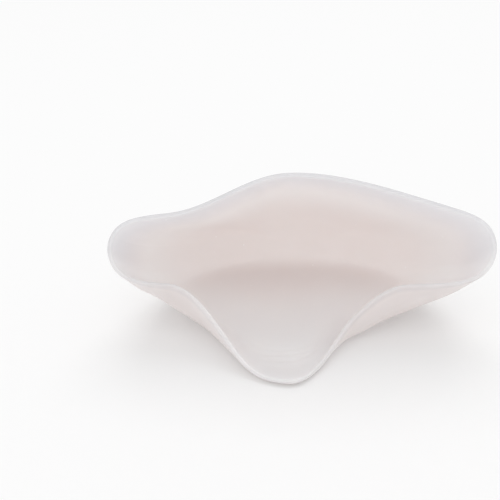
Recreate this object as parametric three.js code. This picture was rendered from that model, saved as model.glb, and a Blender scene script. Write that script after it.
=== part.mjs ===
import * as THREE from 'three';
import { ParametricGeometry } from 'three/addons/geometries/ParametricGeometry.js';

// Gel toe pad: a soft pouch moulded in one piece, closed and rounded at the toe, open at the front.
// Millimetres, +Z up. The pad rests on its flat sole, with the toe at +Y and the mouth towards -Y.

// Wall
const WALL = 3.0; // thickness of the gel
const LIP = 1.2; // thickness at the half-round lip
const LIP_RUN = 0.22; // share of the way from toe to lip over which the wall thins

// Length, along Y
const TOE_Y = 34.75; // middle of the wall at the tip of the toe
const SIDE_LENGTH = 51.3; // tip of the toe to the lip at the two corners of the mouth
const NOSE = 10; // run over which the toe end rounds out to its full section

// Flat oval section, at the middle of the wall
const TOE_HALF_WIDTH = 37.5;
const MOUTH_HALF_WIDTH = 51.9;
const WIDEN_POWER = 1.3; // 1 is a straight taper, more is a mouth that flares
const TOE_HALF_HEIGHT = 13.4;
const MOUTH_HALF_HEIGHT = 10.9;
const OVAL_FLATNESS = 3.2; // how straight the long sides of the oval run

// Sole
const MOUTH_RISE = 23.6; // height of the mouth's corners above the sole
const RISE_POWER = 1.9; // how late that rise starts
const SOLE_CUT = 5.6; // depth of the rounded underside that the flat sole takes up
const SOLE_BLEND = 4.6; // height over which the sole rounds into the sides

// Folds: where each one lies along the lip, and how far it spreads to the left and right
const UPPER = 1;
const LOWER = -1;
const NO_FADE = 0; // for a fold that runs out to the lip; any other fade is the power with which it dies out
const LIFTS = table(['wall', 'centre', 'left', 'right', 'height', 'power', 'fade'], [
  [UPPER, -1, 90, 90, 10, 0.8, 3], // full roof behind the lip
  [UPPER, -2.8, 33.8, 61.2, 10, 0.6, NO_FADE], // hump in the upper lip, with a long right shoulder
  [LOWER, -3.2, 33.3, 32.3, -MOUTH_RISE, RISE_POWER, NO_FADE], // tongue that stays down on the sole
  [LOWER, -30.7, 16.3, 40, -11.9, RISE_POWER, 9], // belly behind the lip, left of the tongue
  [LOWER, 10.3, 16, 41.1, -19.2, RISE_POWER, 9], // belly behind the lip, under and right of the tongue
]);
const REACHES = table(['wall', 'centre', 'left', 'right', 'length'], [
  [UPPER, -2.8, 50, 50, -3.1], // hump is set back a little
  [LOWER, -3.2, 33.6, 18.6, 19.1], // tongue runs out in front of the corners
]);
const WALL_EDGE = 2.5; // how soon a fold of one wall takes hold past the side of the oval

// Facets
const SLICES = 80; // steps round the oval
const CROWD = 0.35; // gathers the steps along the oval's long sides
const WALL_ROWS = 22; // steps from toe to lip
const LIP_ROWS = 6; // steps round the lip
const ROWS = 2 * WALL_ROWS + LIP_ROWS;
const DIFFERENCE = 1e-4; // small step for slopes

const GEL = new THREE.MeshStandardMaterial({ color: 0xdfd7d5, roughness: 0.5, metalness: 0 });

// Rows of numbers as objects with named columns.
function table(columns, rows) {
  return rows.map((row) => Object.fromEntries(columns.map((name, k) => [name, row[k]])));
}

// Smooth bump: 1 at its middle, 0 at its left and right ends.
function bump(x, fold) {
  const away = x - fold.centre;
  const share = away < 0 ? -away / fold.left : away / fold.right;
  return 0.5 * (1 + Math.cos(Math.PI * Math.min(share, 1)));
}

// Height above the sole: flat where the rounded underside would dip below it, with a soft edge.
function aboveSole(z) {
  if (z <= -SOLE_BLEND) return 0;
  return z >= SOLE_BLEND ? z : (z + SOLE_BLEND) ** 2 / (4 * SOLE_BLEND);
}

// Long-side shape of the oval: -1 and 1 at its ends, nearly straight between them.
function alongOval(phi) {
  return Math.tanh(OVAL_FLATNESS * Math.cos(phi)) / Math.tanh(OVAL_FLATNESS);
}

// X on an oval with the given half width and half height.
function ovalX(phi, halfWidth, halfHeight) {
  return (halfWidth - halfHeight) * alongOval(phi) + halfHeight * Math.cos(phi);
}

// How far a fold acts at this angle: 0 on the other wall, 1 on its own.
function foldShare(phi, fold) {
  const side = THREE.MathUtils.clamp(fold.wall * Math.sin(phi) * WALL_EDGE, 0, 1);
  return side * bump(ovalX(phi, MOUTH_HALF_WIDTH, MOUTH_HALF_HEIGHT), fold);
}

// Middle of the wall, at an angle round the oval and a step from the toe (0) to the lip (1).
// Its share of the length starts slowly, so that the toe's blunt end gets enough steps.
function midWall(phi, step) {
  const share = step * step * (2 - step);
  const length = REACHES.reduce((sum, fold) => sum + fold.length * foldShare(phi, fold), SIDE_LENGTH);
  const run = length * share;
  const rounding = Math.sqrt(1 - Math.exp(-run / NOSE));
  const fullHeight = THREE.MathUtils.lerp(TOE_HALF_HEIGHT, MOUTH_HALF_HEIGHT, share);
  const flare = (MOUTH_HALF_WIDTH - TOE_HALF_WIDTH) * share ** WIDEN_POWER;
  const halfHeight = fullHeight * rounding;
  const halfWidth = TOE_HALF_WIDTH * rounding + flare;
  const lift = LIFTS.reduce((sum, fold) => {
    const lost = fold.fade === NO_FADE ? 0 : share ** fold.fade;
    const growth = share ** fold.power - lost;
    return sum + fold.height * growth * foldShare(phi, fold);
  }, MOUTH_RISE * share ** RISE_POWER);
  const height = aboveSole(fullHeight - SOLE_CUT + halfHeight * Math.sin(phi) + lift);
  return new THREE.Vector3(ovalX(phi, halfWidth, halfHeight), TOE_Y - run, WALL / 2 + height);
}

// Unit directions at a point of the wall: straight out of the pouch, and along the wall to the lip.
function wallDirections(phi, step) {
  const near = Math.max(step, DIFFERENCE);
  const along = midWall(phi, near + DIFFERENCE).sub(midWall(phi, near - DIFFERENCE)).normalize();
  const around = midWall(phi + DIFFERENCE, near).sub(midWall(phi - DIFFERENCE, near));
  const out = step > DIFFERENCE ? around.cross(along).normalize() : new THREE.Vector3(0, 1, 0);
  return { out, along };
}

// Surface of the gel: v runs from the toe's outside along the wall, round the lip and back inside to the toe.
function gelSurface(u, v, target) {
  const phi = 2 * Math.PI * u + CROWD * Math.sin(4 * Math.PI * u);
  const row = v * ROWS;
  const step = Math.min(row, ROWS - row, WALL_ROWS) / WALL_ROWS;
  const turn = (Math.PI * THREE.MathUtils.clamp(row - WALL_ROWS, 0, LIP_ROWS)) / LIP_ROWS;
  const thinning = THREE.MathUtils.smoothstep(step, 1 - LIP_RUN, 1);
  const half = THREE.MathUtils.lerp(WALL, LIP, thinning) / 2;
  const { out, along } = wallDirections(phi, step);
  target.copy(midWall(phi, step));
  target.addScaledVector(out, half * Math.cos(turn));
  target.addScaledVector(along, half * Math.sin(turn));
}

const toePouch = new THREE.Mesh(new ParametricGeometry(gelSurface, SLICES, ROWS), GEL);
toePouch.name = 'toe_pouch';

const toePad = new THREE.Group();
toePad.add(toePouch);

export default toePad;
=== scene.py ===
"""Gel toe pad: a soft pouch moulded in one piece, on a pale floor in soft studio light.

The pouch is one closed skin. Its two parameters run round the flat oval section and along the wall:
from the tip of the toe outside to the lip, round the lip, and back inside to the tip of the toe.
"""

import logging
import math
from collections.abc import Mapping, Sequence
from dataclasses import dataclass, field, fields
from enum import Enum
from typing import Any, Union

import bpy
from mathutils import Euler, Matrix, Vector


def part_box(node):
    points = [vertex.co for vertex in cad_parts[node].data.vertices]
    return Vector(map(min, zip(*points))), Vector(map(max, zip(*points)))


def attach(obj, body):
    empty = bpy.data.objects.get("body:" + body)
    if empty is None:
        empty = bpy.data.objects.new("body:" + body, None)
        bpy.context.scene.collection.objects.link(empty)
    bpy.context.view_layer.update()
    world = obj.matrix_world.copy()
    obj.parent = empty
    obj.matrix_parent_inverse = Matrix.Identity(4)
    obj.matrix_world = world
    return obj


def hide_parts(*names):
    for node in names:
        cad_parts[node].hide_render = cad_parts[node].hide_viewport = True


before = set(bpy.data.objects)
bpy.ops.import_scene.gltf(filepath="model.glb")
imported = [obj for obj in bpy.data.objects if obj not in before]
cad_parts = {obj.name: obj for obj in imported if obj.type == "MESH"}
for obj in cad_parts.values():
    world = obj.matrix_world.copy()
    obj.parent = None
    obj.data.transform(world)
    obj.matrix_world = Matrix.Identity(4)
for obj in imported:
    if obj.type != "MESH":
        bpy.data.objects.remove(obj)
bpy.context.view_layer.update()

LOG = logging.getLogger("toe_pad")
MM = 0.001
FULL_TURN = 2 * math.pi
NOISE_MIDDLE = 0.5  # what soft noise swings around
GRID_SIDE = 1.0  # the plain grid that the skin is laid out from, around the origin

Colour = tuple[float, float, float, float]
Numbers = tuple[float, ...]
Feed = Union["Wire", float, int, str, bool, Numbers, bpy.types.ID]


class Wall(Enum):
    """The two walls of the pouch; the value is the side of the oval that a wall takes up."""

    UPPER = 1.0
    LOWER = -1.0


class Kept(Enum):
    """What the skin keeps at each of its points for the finish to read."""

    TO_LIP = "to_lip"  # distance to the lip
    FROM_TOE = "from_toe"  # share of the way from toe to lip
    INSIDE = "inside"  # 0 on the outer face, 1 on the inner one
    UPPER = "upper"  # sine of the angle round the oval: 1 at the top, -1 at the bottom


# Node trees


def shown_socket(sockets: Sequence[bpy.types.NodeSocket], key: str | int) -> bpy.types.NodeSocket:
    """Finds a socket among those that a node shows with its present settings.

    Args:
        sockets: The inputs or the outputs of a node.
        key: The socket's name, or its place among the sockets that are shown.

    Returns:
        The socket.
    """
    shown = [socket for socket in sockets if socket.enabled]
    if isinstance(key, int):
        return shown[key]
    return next(socket for socket in shown if socket.name == key)


class Wire:
    """An output of a node, with arithmetic that adds the Math or Vector Math nodes it needs."""

    def __init__(self, tree: "Tree", socket: bpy.types.NodeSocket) -> None:
        """Wraps a socket of a tree."""
        self.tree = tree
        self.socket = socket

    @property
    def is_vector(self) -> bool:
        """True where this wire carries a vector."""
        return self.socket.type == "VECTOR"

    def pick(self, name: str) -> "Wire":
        """Gives another output of the same node."""
        return Wire(self.tree, shown_socket(self.socket.node.outputs, name))

    def join(self, operation: str, *feeds: Feed) -> "Wire":
        """Adds the node for one operation.

        Args:
            operation: The operation's name in Blender.
            feeds: The values or wires that go in, in order.

        Returns:
            The result.
        """
        kind = "ShaderNodeVectorMath" if self.is_vector else "ShaderNodeMath"
        return self.tree.node(kind, {"operation": operation}, dict(enumerate(feeds)))

    def __add__(self, other: Feed) -> "Wire":
        """Adds a value or a wire."""
        return self.join("ADD", self, other)

    __radd__ = __add__

    def __sub__(self, other: Feed) -> "Wire":
        """Takes a value or a wire away."""
        return self.join("SUBTRACT", self, other)

    def __rsub__(self, other: Feed) -> "Wire":
        """Takes this wire away from a value."""
        return self.join("SUBTRACT", other, self)

    def __neg__(self) -> "Wire":
        """Turns the sign."""
        return 0 - self

    def __mul__(self, other: Feed) -> "Wire":
        """Multiplies by a number, which scales a vector."""
        return self.join("SCALE" if self.is_vector else "MULTIPLY", self, other)

    __rmul__ = __mul__

    def __truediv__(self, other: Feed) -> "Wire":
        """Divides by a value or a wire."""
        return self.join("DIVIDE", self, other)

    def __rtruediv__(self, other: Feed) -> "Wire":
        """Divides a value by this wire."""
        return self.join("DIVIDE", other, self)

    def __pow__(self, power: Feed) -> "Wire":
        """Raises to a power."""
        return self.join("POWER", self, power)

    def __gt__(self, other: Feed) -> "Wire":
        """Gives 1 where this wire is the greater, and 0 elsewhere."""
        return self.join("GREATER_THAN", self, other)

    def sin(self) -> "Wire":
        """Sine of an angle in radians."""
        return self.join("SINE", self)

    def cos(self) -> "Wire":
        """Cosine of an angle in radians."""
        return self.join("COSINE", self)

    def tanh(self) -> "Wire":
        """Hyperbolic tangent."""
        return self.join("TANH", self)

    def exp(self) -> "Wire":
        """Exponential."""
        return self.join("EXPONENT", self)

    def sqrt(self) -> "Wire":
        """Square root."""
        return self.join("SQRT", self)

    def least(self, other: Feed) -> "Wire":
        """The smaller of two numbers."""
        return self.join("MINIMUM", self, other)

    def most(self, other: Feed) -> "Wire":
        """The larger of two numbers."""
        return self.join("MAXIMUM", self, other)

    def within(self, low: Feed, high: Feed) -> "Wire":
        """The number, kept between two limits."""
        return self.most(low).least(high)

    def towards(self, other: Feed, share: Feed) -> "Wire":
        """Goes a share of the way from this number to another."""
        return self + (other - self) * share

    def ramp(self, start: Feed, end: Feed) -> "Wire":
        """Rises smoothly from 0 at the start to 1 at the end.

        Args:
            start: Value where the rise starts.
            end: Value where it is complete, on either side of the start.

        Returns:
            A number from 0 to 1.
        """
        share = ((self - start) / (end - start)).within(0, 1)
        return share * share * (3 - 2 * share)

    def cross(self, other: "Wire") -> "Wire":
        """Cross product of two vectors."""
        return self.join("CROSS_PRODUCT", self, other)

    def unit(self) -> "Wire":
        """The vector at a length of one."""
        return self.join("NORMALIZE", self)


class Tree:
    """A node tree that is being built."""

    def __init__(self, data: bpy.types.NodeTree) -> None:
        """Starts on an empty tree."""
        self.data = data
        self.data.nodes.clear()

    @classmethod
    def shape(cls, name: str) -> "Tree":
        """Starts a Geometry Nodes tree."""
        return cls(bpy.data.node_groups.new(name, "GeometryNodeTree"))

    def opening(self, name: str, kind: str, way: str = "INPUT") -> None:
        """Adds a named input or output to the tree's own interface."""
        self.data.interface.new_socket(name, in_out=way, socket_type=kind)

    def node(
        self,
        kind: str,
        settings: Mapping[str, Any] | None = None,
        sockets: Mapping[str | int, Feed] | None = None,
    ) -> Wire:
        """Adds a node of any kind.

        Args:
            kind: The node's type.
            settings: The node's own properties, which are set first.
            sockets: A value or a wire for each input that is named, or numbered among those that are shown.

        Returns:
            The node's first output that is shown.
        """
        made = self.data.nodes.new(kind)
        for name, value in (settings or {}).items():
            setattr(made, name, value)
        for key, feed in (sockets or {}).items():
            socket = shown_socket(made.inputs, key)
            if isinstance(feed, Wire):
                self.data.links.new(feed.socket, socket)
            else:
                socket.default_value = feed
        shown = [socket for socket in made.outputs if socket.enabled]
        return Wire(self, shown[0] if shown else made.inputs[0])

    def blend(self, share: Feed, first: Feed, second: Feed) -> Wire:
        """Mixes two colours.

        Args:
            share: 0 for the first colour, 1 for the second.
            first: A colour or a wire.
            second: A colour or a wire.

        Returns:
            The mixed colour.
        """
        feeds = {"Factor": share, "A": first, "B": second}
        return self.node("ShaderNodeMix", {"data_type": "RGBA"}, feeds)


# The folds of the pouch

MOUTH_RISE = 23.6 * MM  # height of the mouth's corners above the sole
RISE_POWER = 1.9  # how late that rise starts


@dataclass(frozen=True)
class Fold:
    """A fold in one wall: where it lies along the lip, and how far it spreads to each side."""

    name: str
    wall: Wall
    centre: float
    left: float
    right: float

    def sizes(self) -> dict[str, float]:
        """Lists the sizes of the fold under the names of their inputs.

        Returns:
            The sizes.
        """
        values = {entry.name: getattr(self, entry.name) for entry in fields(self)}
        return {self.input_name(name): size for name, size in values.items() if isinstance(size, float)}

    def input_name(self, size: str) -> str:
        """Names the input that holds one of the fold's sizes."""
        return f"{self.name} {size}".title()


@dataclass(frozen=True)
class Lift(Fold):
    """A fold that raises or lowers its wall, the more so towards the lip unless it fades out there.

    A fade is the power with which the fold dies out, and 0 is for a fold that runs out to the lip.
    """

    height: float
    power: float
    fade: float = 0.0


@dataclass(frozen=True)
class Reach(Fold):
    """A fold that makes its wall longer, or shorter where its length is negative."""

    length: float


# Finishes


@dataclass(frozen=True)
class GelFinish:
    """Milky silicone gel, soft and satin.

    Painted light and shade sit in its colour: a warm painted shade far inside towards the toe, painted
    light on the sole, painted shade on the outer face, a cool painted shade and painted reflection towards
    the lip, and a grey painted shade line at the lip's outer turn. Of a place on the lip's turn, 0 is the
    outer face and 1 the inner one.
    """

    name: str = "milky_gel"
    body: Colour = (0.945, 0.896, 0.883, 1.0)
    # Painted warm shade far inside the pouch, towards the toe: darker and warmer than the body colour
    deep: Colour = (0.872, 0.812, 0.795, 1.0)
    # Painted light on the lower wall's inner face: lighter than the body colour, to make up for the shade
    # where the pad rests on the floor
    sole: Colour = (0.990, 0.955, 0.942, 1.0)
    # Painted shade on the outer face: the whole outer face is darker than the inner one
    outer: Colour = (0.730, 0.668, 0.652, 1.0)
    # Cool painted shade and painted reflection towards the lip: darker and cooler than the body colour
    rim: Colour = (0.640, 0.632, 0.658, 1.0)
    # Grey painted shade line along the lip's outer turn
    edge: Colour = (0.475, 0.473, 0.490, 1.0)
    cloud: Colour = (0.950, 0.915, 0.905, 1.0)
    speck: Colour = (1.000, 0.985, 0.975, 1.0)
    rim_width: float = 23.0 * MM
    rim_power: float = 1.6  # how fast the cool painted shade fades away from the lip
    rim_turn: float = 0.5  # where on the lip's turn it is full
    rim_outside: float = 0.2  # its strength on the outer face
    rim_below: float = 0.55  # its strength on the lower wall
    edge_width: float = 0.9 * MM
    edge_start: float = 0.1  # where on the lip's turn the grey painted shade line starts to fade
    edge_end: float = 1.3  # and where it would be gone
    edge_below: float = 0.35  # its strength on the lower wall
    upper_start: float = -0.5  # sine of the angle round the oval where the lower wall ends
    upper_end: float = 0.2  # and where the upper wall is reached
    deep_start: float = 0.2  # share of the way from toe to lip where the warm painted shade starts to fade
    deep_end: float = 0.82  # and where it is gone
    cloud_size: float = 9.0 * MM
    cloud_detail: float = 3.0
    cloud_start: float = 0.35  # noise from which a cloud shows
    cloud_end: float = 0.8  # noise at which it is full
    cloud_share: float = 0.12
    speck_spacing: float = 6.0 * MM
    speck_radius: float = 0.30 * MM
    speck_core: float = 0.15 * MM  # radius of its full middle
    speck_share: float = 0.8
    roughness: float = 0.5
    roughness_swing: float = 0.12
    roughness_detail: float = 4.0
    grain_size: float = 0.5 * MM
    grain_detail: float = 2.0
    grain_height: float = 0.01 * MM
    scatter_share: float = 1.0
    scatter: float = 8.0 * MM
    scatter_reach: Numbers = (1.0, 0.97, 0.95)
    bend_of_light: float = 1.41

    def material(self) -> bpy.types.Material:
        """Makes the material.

        Returns:
            The material, ready for the pouch's mesh and what its points keep.
        """
        made = bpy.data.materials.new(self.name)
        made.use_nodes = True
        tree = Tree(made.node_tree)
        place = tree.node("ShaderNodeTexCoord").pick("Object")
        gel = {
            "Base Color": self.colour(tree, place),
            "Roughness": self.satin(tree, place),
            "Normal": self.grain(tree, place),
            "IOR": self.bend_of_light,
            "Subsurface Weight": self.scatter_share,
            "Subsurface Radius": self.scatter_reach,
            "Subsurface Scale": self.scatter,
        }
        surface = tree.node("ShaderNodeBsdfPrincipled", None, gel)
        tree.node("ShaderNodeOutputMaterial", None, {"Surface": surface})
        return made

    @staticmethod
    def kept(tree: Tree, what: Kept) -> Wire:
        """Reads what the skin keeps at its points."""
        return tree.node("ShaderNodeAttribute", {"attribute_name": what.value}).pick("Fac")

    @staticmethod
    def noise(tree: Tree, place: Wire, size: float, detail: float) -> Wire:
        """Makes soft noise from 0 to 1.

        Args:
            tree: The material's tree.
            place: Where on the pouch.
            size: Size of one blotch.
            detail: How many finer layers it has.

        Returns:
            The noise.
        """
        return tree.node("ShaderNodeTexNoise", None, {"Vector": place, "Scale": 1 / size, "Detail": detail})

    def colour(self, tree: Tree, place: Wire) -> Wire:
        """Colours the gel, with soft clouds and small specks, and paints light and shade into it.

        A warm painted shade lies far inside towards the toe, with painted light on the sole, painted shade
        on the outer face, a cool painted shade towards the lip and a grey painted shade line along it.

        Args:
            tree: The material's tree.
            place: Where on the pouch.

        Returns:
            The colour.
        """
        to_lip = self.kept(tree, Kept.TO_LIP)
        inside = self.kept(tree, Kept.INSIDE)
        upper = self.kept(tree, Kept.UPPER).ramp(self.upper_start, self.upper_end)
        # Mask of the painted warm shade far inside the pouch, towards the toe
        deep = 1 - self.kept(tree, Kept.FROM_TOE).ramp(self.deep_start, self.deep_end)
        # Mask of the cool painted shade and painted reflection towards the lip
        painted_rim_shade_side = inside.ramp(0, self.rim_turn).towards(1, self.rim_outside)
        rim = (1 - to_lip.ramp(0, self.rim_width)) ** self.rim_power * painted_rim_shade_side
        rim = rim * upper.towards(1, self.rim_below)
        # Mask of the grey painted shade line along the lip's outer turn
        painted_edge_shade_side = 1 - inside.ramp(self.edge_start, self.edge_end)
        edge = (1 - to_lip.ramp(0, self.edge_width)) * painted_edge_shade_side
        edge = edge * upper.towards(1, self.edge_below)
        cloud = self.noise(tree, place, self.cloud_size, self.cloud_detail)
        cloud = cloud.ramp(self.cloud_start, self.cloud_end) * self.cloud_share
        cells = {"Vector": place, "Scale": 1 / self.speck_spacing}
        speck_far = tree.node("ShaderNodeTexVoronoi", None, cells) * self.speck_spacing
        speck = 1 - speck_far.ramp(self.speck_core, self.speck_radius)
        speck = speck * inside * self.speck_share
        # Painted light on the lower wall, against the body colour on the upper wall
        gel = tree.blend(upper, self.sole, self.body)
        # Painted warm shade far inside the pouch
        gel = tree.blend(deep, gel, self.deep)
        # Painted shade on the outer face
        gel = tree.blend(inside, self.outer, gel)
        gel = tree.blend(cloud, gel, self.cloud)
        # Cool painted shade and painted reflection towards the lip
        gel = tree.blend(rim, gel, self.rim)
        # Grey painted shade line along the lip's outer turn
        gel = tree.blend(edge, gel, self.edge)
        return tree.blend(speck, gel, self.speck)

    def satin(self, tree: Tree, place: Wire) -> Wire:
        """Varies the satin a little, as handled gel does.

        Args:
            tree: The material's tree.
            place: Where on the pouch.

        Returns:
            The roughness.
        """
        swing = self.noise(tree, place, self.cloud_size, self.roughness_detail) - NOISE_MIDDLE
        return self.roughness + swing * self.roughness_swing

    def grain(self, tree: Tree, place: Wire) -> Wire:
        """Gives the skin the fine grain of the mould.

        Args:
            tree: The material's tree.
            place: Where on the pouch.

        Returns:
            The normal.
        """
        height = self.noise(tree, place, self.grain_size, self.grain_detail)
        return tree.node("ShaderNodeBump", None, {"Height": height, "Distance": self.grain_height})


@dataclass(frozen=True)
class FloorFinish:
    """Plain pale matt floor."""

    name: str = "pale_floor"
    colour: Colour = (0.75, 0.75, 0.75, 1.0)
    glow_colour: Colour = (1.0, 1.0, 1.0, 1.0)
    glow: float = 0.18
    roughness: float = 0.9
    shine: float = 0.0

    def material(self) -> bpy.types.Material:
        """Makes the material.

        Returns:
            The material.
        """
        made = bpy.data.materials.new(self.name)
        made.use_nodes = True
        tree = Tree(made.node_tree)
        paint = {
            "Base Color": self.colour,
            "Roughness": self.roughness,
            "Specular IOR Level": self.shine,
            "Emission Color": self.glow_colour,
            "Emission Strength": self.glow,
        }
        surface = tree.node("ShaderNodeBsdfPrincipled", None, paint)
        tree.node("ShaderNodeOutputMaterial", None, {"Surface": surface})
        return made


# The pouch


@dataclass(frozen=True)
class ToePouch:
    """The whole pad: closed rounded toe, flat sole with a long tongue, humped upper wall, round lip."""

    name: str = "gel_pouch"
    node: str = "toe_pouch"
    body: str = "root"
    slot: str = "gel"
    finish: GelFinish = field(default_factory=GelFinish)

    wall: float = 3.0 * MM
    lip: float = 1.2 * MM
    lip_run: float = 0.22  # share of the way from toe to lip over which the wall thins
    side_length: float = 51.3 * MM  # tip of the toe to the lip at the corners of the mouth
    nose: float = 10.0 * MM  # run over which the toe end rounds out
    toe_half_width: float = 37.5 * MM
    mouth_half_width: float = 51.9 * MM
    widen_power: float = 1.3  # 1 is a straight taper, more is a mouth that flares
    toe_half_height: float = 13.4 * MM
    mouth_half_height: float = 10.9 * MM
    oval_flatness: float = 3.2  # how straight the long sides of the oval run
    mouth_rise: float = MOUTH_RISE
    rise_power: float = RISE_POWER
    sole_cut: float = 5.6 * MM  # depth of the rounded underside that the flat sole takes up
    sole_blend: float = 4.6 * MM  # height over which the sole rounds into the sides
    wall_edge: float = 2.5  # how soon a fold of one wall takes hold past the side of the oval
    crowd: float = 0.35  # gathers the slices along the oval's long sides

    swell_height: float = 0.12 * MM
    swell_size: float = 16.0 * MM
    swell_detail: float = 1.0
    ripple_height: float = 0.18 * MM
    ripple_spacing: float = 2.6 * MM
    ripple_start: float = 3.5 * MM  # from the lip
    ripple_end: float = 17.0 * MM
    ripple_wander: float = 4.0  # ripples by which the swell shifts them
    ripple_gap: float = 0.12  # swell past which there are none
    seed: float = 4.0

    slices: int = 360
    wall_rows: int = 120
    lip_rows: int = 10
    weld: float = 0.001 * MM  # closes the seam and the two poles
    difference: float = 0.002  # small step for slopes

    # name, wall, centre, left, right, height, power, fade
    lifts: tuple[Lift, ...] = (
        Lift("roof", Wall.UPPER, -1.0 * MM, 90.0 * MM, 90.0 * MM, 10.0 * MM, 0.8, 3.0),
        Lift("hump", Wall.UPPER, -2.8 * MM, 33.8 * MM, 61.2 * MM, 10.0 * MM, 0.6),
        Lift("tongue", Wall.LOWER, -3.2 * MM, 33.3 * MM, 32.3 * MM, -MOUTH_RISE, RISE_POWER),
        Lift("left belly", Wall.LOWER, -30.7 * MM, 16.3 * MM, 40.0 * MM, -11.9 * MM, RISE_POWER, 9.0),
        Lift("right belly", Wall.LOWER, 10.3 * MM, 16.0 * MM, 41.1 * MM, -19.2 * MM, RISE_POWER, 9.0),
    )
    # name, wall, centre, left, right, length
    reaches: tuple[Reach, ...] = (
        Reach("hump reach", Wall.UPPER, -2.8 * MM, 50.0 * MM, 50.0 * MM, -3.1 * MM),
        Reach("tongue reach", Wall.LOWER, -3.2 * MM, 33.6 * MM, 18.6 * MM, 19.1 * MM),
    )

    @property
    def toe_tip(self) -> float:
        """Middle of the wall at the tip of the toe, along Y."""
        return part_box(self.node)[1][1] - self.wall / 2

    def sizes(self) -> dict[str, float | int]:
        """Lists every size of the pouch under the name of its input.

        Returns:
            The sizes.
        """
        found: dict[str, float | int] = {"Toe Tip": self.toe_tip}
        for entry in fields(self):
            value = getattr(self, entry.name)
            if isinstance(value, (int, float)):
                found[entry.name.replace("_", " ").title()] = value
        for fold in (*self.lifts, *self.reaches):
            found.update(fold.sizes())
        return found

    def size_inputs(self, tree: Tree) -> dict[str, Wire]:
        """Adds an input for each size to a tree.

        Args:
            tree: A tree with no nodes yet.

        Returns:
            A wire from each input of the tree.
        """
        for name, value in self.sizes().items():
            tree.opening(name, "NodeSocketInt" if isinstance(value, int) else "NodeSocketFloat")
        given = tree.node("NodeGroupInput")
        items = tree.data.interface.items_tree
        return {item.name: given.pick(item.name) for item in items if item.in_out == "INPUT"}

    @staticmethod
    def oval_x(angle: Wire, half_width: Wire, half_height: Wire, flatness: Wire) -> Wire:
        """Finds X on the flat oval section.

        Args:
            angle: Angle round the oval.
            half_width: Half the oval's width.
            half_height: Half its height, which its round ends have too.
            flatness: How straight its long sides run.

        Returns:
            X from the middle of the oval.
        """
        along = (angle.cos() * flatness).tanh() / flatness.tanh()
        return (half_width - half_height) * along + half_height * angle.cos()

    def fold_share(self, fold: Fold, angle: Wire, size: Mapping[str, Wire]) -> Wire:
        """Finds how far a fold acts: 1 at its middle, 0 past its ends and on the other wall.

        Args:
            fold: The fold.
            angle: Angle round the oval.
            size: The sizes, as inputs of the tree.

        Returns:
            A number from 0 to 1.
        """
        half_width, half_height = size["Mouth Half Width"], size["Mouth Half Height"]
        lip_x = self.oval_x(angle, half_width, half_height, size["Oval Flatness"])
        away = lip_x - size[fold.input_name("centre")]
        left = -away / size[fold.input_name("left")]
        spread = left.most(away / size[fold.input_name("right")]).least(1)
        side = (angle.sin() * fold.wall.value * size["Wall Edge"]).within(0, 1)
        return side * 0.5 * (1 + (spread * math.pi).cos())

    def wall_rule(self) -> bpy.types.NodeTree:
        """Builds the rule for the middle of the wall, as a tree that the pouch's tree uses.

        Returns:
            A tree from an angle round the oval and a step from toe to lip to a place.
        """
        tree = Tree.shape("middle_of_the_wall")
        tree.opening("Place", "NodeSocketVector", "OUTPUT")
        tree.opening("To Lip", "NodeSocketFloat", "OUTPUT")
        tree.opening("Above Sole", "NodeSocketFloat", "OUTPUT")
        tree.opening("Tongue", "NodeSocketFloat", "OUTPUT")
        tree.opening("Angle", "NodeSocketFloat")
        tree.opening("Step", "NodeSocketFloat")
        size = self.size_inputs(tree)
        angle, step = size["Angle"], size["Step"]

        share = step * step * (2 - step)
        length = size["Side Length"]
        for fold in self.reaches:
            length = length + size[fold.input_name("length")] * self.fold_share(fold, angle, size)
        run = length * share
        rounding = (1 - (-run / size["Nose"]).exp()).sqrt()

        full_height = size["Toe Half Height"].towards(size["Mouth Half Height"], share)
        flare = (size["Mouth Half Width"] - size["Toe Half Width"]) * share ** size["Widen Power"]
        half_height = full_height * rounding
        half_width = size["Toe Half Width"] * rounding + flare

        acting = {fold.name: self.fold_share(fold, angle, size) for fold in self.lifts}
        lift = size["Mouth Rise"] * share ** size["Rise Power"]
        for fold in self.lifts:
            growth = share ** size[fold.input_name("power")]
            if fold.fade:
                growth = growth - share ** size[fold.input_name("fade")]
            lift = lift + size[fold.input_name("height")] * growth * acting[fold.name]

        blend = size["Sole Blend"]
        raw = full_height - size["Sole Cut"] + half_height * angle.sin() + lift
        low = (raw + blend).within(0, 2 * blend)
        above = low * low / (4 * blend) + (raw - blend).most(0)
        place = {
            "X": self.oval_x(angle, half_width, half_height, size["Oval Flatness"]),
            "Y": size["Toe Tip"] - run,
            "Z": size["Wall"] / 2 + above,
        }
        given = {
            "Place": tree.node("ShaderNodeCombineXYZ", None, place),
            "To Lip": length - run,
            "Above Sole": above,
            "Tongue": acting["tongue"],
        }
        tree.node("NodeGroupOutput", None, given)
        return tree.data

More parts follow.
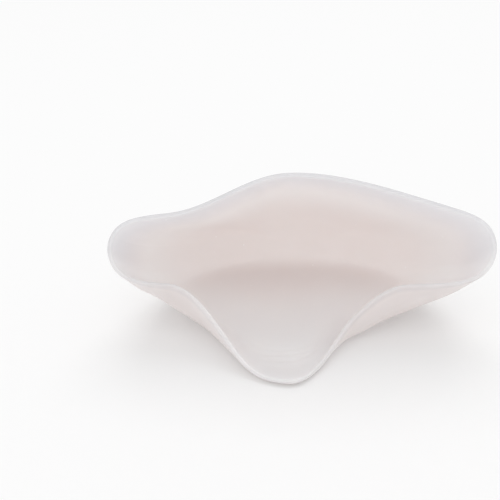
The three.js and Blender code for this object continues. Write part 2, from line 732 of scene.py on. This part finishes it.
    def relief(self, tree: Tree, size: Mapping[str, Wire], middle: Wire, inside: Wire) -> Wire:
        """Works out how far the soft skin stands off its plain shape.

        Args:
            tree: The pouch's tree.
            size: The sizes, as inputs of the tree.
            middle: The middle of the wall.
            inside: 0 on the outer face, 1 on the inner one.

        Returns:
            The height of the skin over its plain shape: nothing under the flat sole.
        """
        to_lip = middle.pick("To Lip")
        where = {
            "Vector": middle,
            "W": size["Seed"] + inside,
            "Scale": 1 / size["Swell Size"],
            "Detail": size["Swell Detail"],
        }
        swell = tree.node("ShaderNodeTexNoise", {"noise_dimensions": "4D"}, where) - NOISE_MIDDLE
        middle_of_ripples = size["Ripple Start"].towards(size["Ripple End"], 0.5)
        rising = to_lip.ramp(size["Ripple Start"], middle_of_ripples)
        falling = 1 - to_lip.ramp(middle_of_ripples, size["Ripple End"])
        waves = (to_lip / size["Ripple Spacing"] + swell * size["Ripple Wander"]) * FULL_TURN
        broken = swell.ramp(size["Ripple Gap"], -size["Ripple Gap"])
        ripple = waves.sin() * rising * falling * inside * broken
        ripple = ripple * middle.pick("Tongue") * size["Ripple Height"]
        free = (middle.pick("Above Sole") / size["Sole Blend"]).within(0, 1).most(inside)
        return (swell * 2 * size["Swell Height"] + ripple) * free

    def skin_tree(self) -> bpy.types.NodeTree:
        """Builds the tree that lays a grid over the rule and closes it into one skin.

        Returns:
            The tree, with an input for each size and for the material.
        """
        rule = self.wall_rule()
        tree = Tree.shape("pouch_skin")
        tree.opening("Skin", "NodeSocketGeometry", "OUTPUT")
        tree.opening("Gel", "NodeSocketMaterial")
        size = self.size_inputs(tree)
        known = {name: size[name] for name in self.sizes()}
        rows = 2 * size["Wall Rows"] + size["Lip Rows"]

        def middle(angle: Wire, step: Wire) -> Wire:
            """Uses the rule for the middle of the wall."""
            given = {**known, "Angle": angle, "Step": step}
            return tree.node("GeometryNodeGroup", {"node_tree": rule}, given)

        corner = tree.node("GeometryNodeInputPosition")
        across = tree.node("ShaderNodeSeparateXYZ", None, {"Vector": corner})
        around = across / GRID_SIDE + 0.5
        along = across.pick("Y") / GRID_SIDE + 0.5
        angle = around * FULL_TURN + size["Crowd"] * (around * 2 * FULL_TURN).sin()
        row = along * rows
        step = row.least(rows - row).least(size["Wall Rows"]) / size["Wall Rows"]
        turn = (row - size["Wall Rows"]).within(0, size["Lip Rows"]) / size["Lip Rows"] * math.pi
        half = size["Wall"].towards(size["Lip"], step.ramp(1 - size["Lip Run"], 1)) / 2

        gap = size["Difference"]
        near = step.most(gap)
        forward = (middle(angle, near + gap) - middle(angle, near - gap)).unit()
        sideways = middle(angle + gap, near) - middle(angle - gap, near)
        off_pole = step > gap
        toe_way = tree.node("ShaderNodeCombineXYZ", None, {"Y": 1 - off_pole})
        out = sideways.cross(forward).unit() * off_pole + toe_way

        here = middle(angle, step)
        inside = (1 - turn.cos()) / 2
        stand = half + self.relief(tree, size, here, inside)
        place = here + (out * turn.cos() + forward * turn.sin()) * stand

        layout = {
            "Size X": GRID_SIDE,
            "Size Y": GRID_SIDE,
            "Vertices X": size["Slices"] + 1,
            "Vertices Y": rows + 1,
        }
        grid = tree.node("GeometryNodeMeshGrid", None, layout)
        skin = self.keep(tree, grid, "UVMap", grid.pick("UV Map"), "FLOAT2", "CORNER")
        skin = self.keep(tree, skin, Kept.TO_LIP.value, here.pick("To Lip"))
        skin = self.keep(tree, skin, Kept.FROM_TOE.value, step)
        skin = self.keep(tree, skin, Kept.INSIDE.value, inside)
        skin = self.keep(tree, skin, Kept.UPPER.value, angle.sin())
        skin = tree.node("GeometryNodeSetPosition", None, {"Geometry": skin, "Position": place})
        skin = tree.node("GeometryNodeMergeByDistance", None, {"Geometry": skin, "Distance": size["Weld"]})
        skin = tree.node("GeometryNodeSetShadeSmooth", None, {"Geometry": skin, "Shade Smooth": True})
        skin = tree.node("GeometryNodeRealizeInstances", None, {"Geometry": skin})
        skin = tree.node("GeometryNodeSetMaterial", None, {"Geometry": skin, "Material": size["Gel"]})
        tree.node("NodeGroupOutput", None, {"Skin": skin})
        return tree.data

    @staticmethod
    def keep(
        tree: Tree, skin: Wire, name: str, value: Wire, kind: str = "FLOAT", domain: str = "POINT"
    ) -> Wire:
        """Stores a value on the skin.

        Args:
            tree: The pouch's tree.
            skin: The skin so far.
            name: Name to store it under.
            value: What is stored.
            kind: Data type of the value.
            domain: Where it is stored: at each point, or at each corner of a face.

        Returns:
            The skin with the value.
        """
        settings = {"data_type": kind, "domain": domain}
        feeds = {"Geometry": skin, "Name": name, "Value": value}
        return tree.node("GeometryNodeStoreNamedAttribute", settings, feeds)

    def build(self) -> bpy.types.Object:
        """Makes the pouch as a plain mesh that stands for its CAD solid.

        Returns:
            The finished piece.
        """
        piece = bpy.data.objects.new(self.name, bpy.data.meshes.new(self.name))
        bpy.context.scene.collection.objects.link(piece)
        maker = piece.modifiers.new("pouch skin", "NODES")
        maker.node_group = self.skin_tree()
        given = {**self.sizes(), "Gel": self.finish.material()}
        for item in maker.node_group.interface.items_tree:
            if item.in_out == "INPUT":
                maker[item.identifier] = given[item.name]
        graph = bpy.context.evaluated_depsgraph_get()
        mesh = bpy.data.meshes.new_from_object(
            piece.evaluated_get(graph), preserve_all_data_layers=True, depsgraph=graph
        )
        piece.modifiers.remove(maker)
        piece.data = mesh
        mesh.name = self.name
        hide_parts(self.node)
        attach(piece, self.body)
        return piece


# The studio


@dataclass(frozen=True)
class Lamp:
    """A square soft light that points where the camera looks."""

    name: str
    place: Numbers
    width: float
    power: float


@dataclass(frozen=True)
class Studio:
    """Pale floor, soft lights and the camera."""

    finish: FloorFinish = field(default_factory=FloorFinish)
    floor_width: float = 60.0
    floor_gap: float = 0.05 * MM
    bounces: int = 16
    sky: Colour = (1.0, 1.0, 1.0, 1.0)
    sky_strength: float = 0.75
    # name, place, width, power in watts
    lamps: tuple[Lamp, ...] = (
        Lamp("top", (0.1, 0.7, 1.8), 1.5, 9.5),
        Lamp("front", (-0.2, -1.35, 1.45), 1.4, 7.0),
    )
    aim: Numbers = (-14.0 * MM, -13.25 * MM, 29.37 * MM)
    distance: float = 265.0 * MM
    elevation: float = math.radians(25.0)
    lens: float = 70.0
    sensor: float = 36.0
    nearest: float = 1.0 * MM

    def build(self) -> None:
        """Makes everything around the pad."""
        self.colours()
        self.floor()
        self.surroundings()
        for lamp in self.lamps:
            self.light(lamp)
        self.camera()

    def colours(self) -> None:
        """Shows colours as they are, with no film look, and lets light go far inside the gel."""
        bpy.context.scene.view_settings.view_transform = "Standard"
        bpy.context.scene.cycles.max_bounces = self.bounces
        bpy.context.scene.cycles.diffuse_bounces = self.bounces

    def floor(self) -> bpy.types.Object:
        """Makes the floor that the pad rests on.

        Returns:
            The floor.
        """
        half = self.floor_width / 2
        low = -self.floor_gap
        corners = [(-half, -half, low), (half, -half, low), (half, half, low), (-half, half, low)]
        mesh = bpy.data.meshes.new("floor")
        mesh.from_pydata(corners, [], [(0, 1, 2, 3)])
        mesh.materials.append(self.finish.material())
        made = bpy.data.objects.new("floor", mesh)
        bpy.context.scene.collection.objects.link(made)
        return made

    def surroundings(self) -> None:
        """Makes the even white room light."""
        world = bpy.data.worlds.new("white_room")
        world.use_nodes = True
        tree = Tree(world.node_tree)
        glow = {"Color": self.sky, "Strength": self.sky_strength}
        light = tree.node("ShaderNodeBackground", None, glow)
        tree.node("ShaderNodeOutputWorld", None, {"Surface": light})
        bpy.context.scene.world = world

    def light(self, lamp: Lamp) -> None:
        """Hangs one soft light.

        Args:
            lamp: Its place, width and power.
        """
        data = bpy.data.lights.new(lamp.name, "AREA")
        data.size = lamp.width
        data.energy = lamp.power
        made = bpy.data.objects.new(lamp.name, data)
        made.location = lamp.place
        made.rotation_euler = (Vector(self.aim) - Vector(lamp.place)).to_track_quat("-Z", "Y").to_euler()
        bpy.context.scene.collection.objects.link(made)

    def camera(self) -> None:
        """Sets up the camera, straight in front of the mouth and above it."""
        data = bpy.data.cameras.new("camera")
        data.lens = self.lens
        data.sensor_width = self.sensor
        data.clip_start = self.nearest
        made = bpy.data.objects.new("camera", data)
        back = Vector((0.0, -math.cos(self.elevation), math.sin(self.elevation)))
        made.location = Vector(self.aim) + back * self.distance
        made.rotation_euler = Euler((math.pi / 2 - self.elevation, 0.0, 0.0))
        bpy.context.scene.collection.objects.link(made)
        bpy.context.scene.camera = made


def main() -> None:
    """Builds the pad and the studio, and reports that the studio is set."""
    logging.basicConfig(level=logging.INFO, format="%(name)s: %(message)s")
    pouch = ToePouch().build()
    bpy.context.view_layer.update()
    Studio().build()
    LOG.info("floor, lights and camera are set")


if __name__ == "__main__":
    main()
